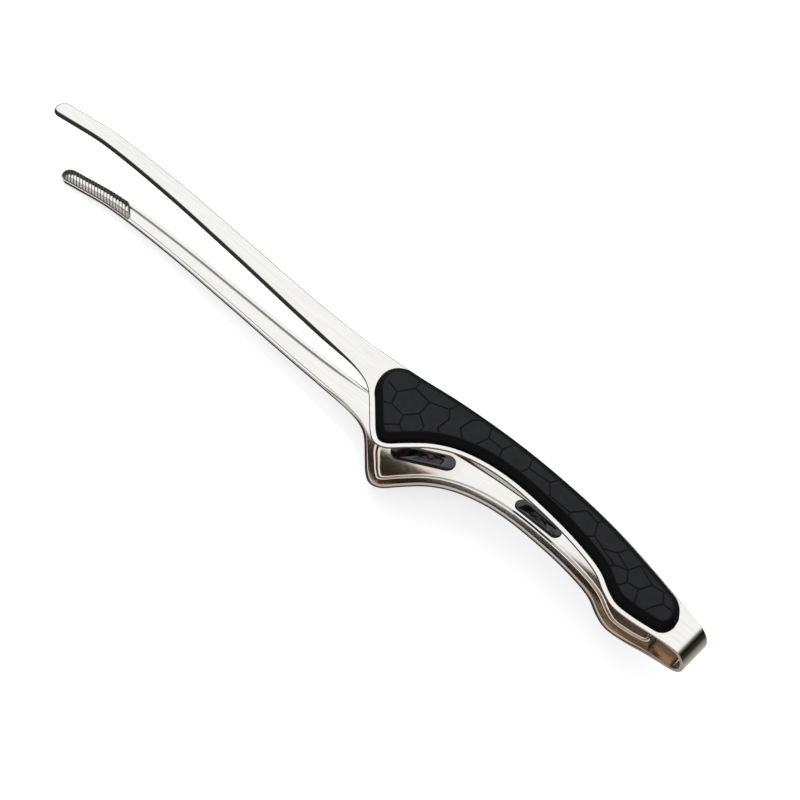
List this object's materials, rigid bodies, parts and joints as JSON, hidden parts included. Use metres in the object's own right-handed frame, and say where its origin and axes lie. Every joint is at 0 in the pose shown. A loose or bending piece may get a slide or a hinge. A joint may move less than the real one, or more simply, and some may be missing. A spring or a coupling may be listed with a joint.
{
  "type": "barbecue tongs",
  "caption": "Slender spring tongs folded from one strip: narrow guttered arms with ridged tips, wide curved handles with moulded grips.",
  "frame": {"origin": "centre of the bounding box in X and Y, at its lowest point", "axes": "+X from the jaw tips to the bow, +Y towards the bulging far edge of the handles, +Z from the lower arm to the upper arm"},
  "size_m": [0.24, 0.0284, 0.0294],
  "materials": {
    "steel": "fine satin, nearly polished",
    "grip": "fine grain on top, smooth sides",
    "key": "smooth"
  },
  "bodies": {
    "lower": {"lower_arm": "steel", "tail_bow": "steel", "lower_grip": "grip", "lower_front_key": "key", "lower_rear_key": "key"},
    "upper": {"upper_arm": "steel", "upper_grip": "grip", "upper_front_key": "key", "upper_rear_key": "key"}
  },
  "joints": [
    {"name": "squeeze", "type": "hinge", "parent": "lower", "child": "upper", "pos_m": [0.1155, 0, 0.0147], "axis": [0, -1, 0], "range_deg": [0, 6], "stiffness_Nm_per_rad": 10}
  ]
}
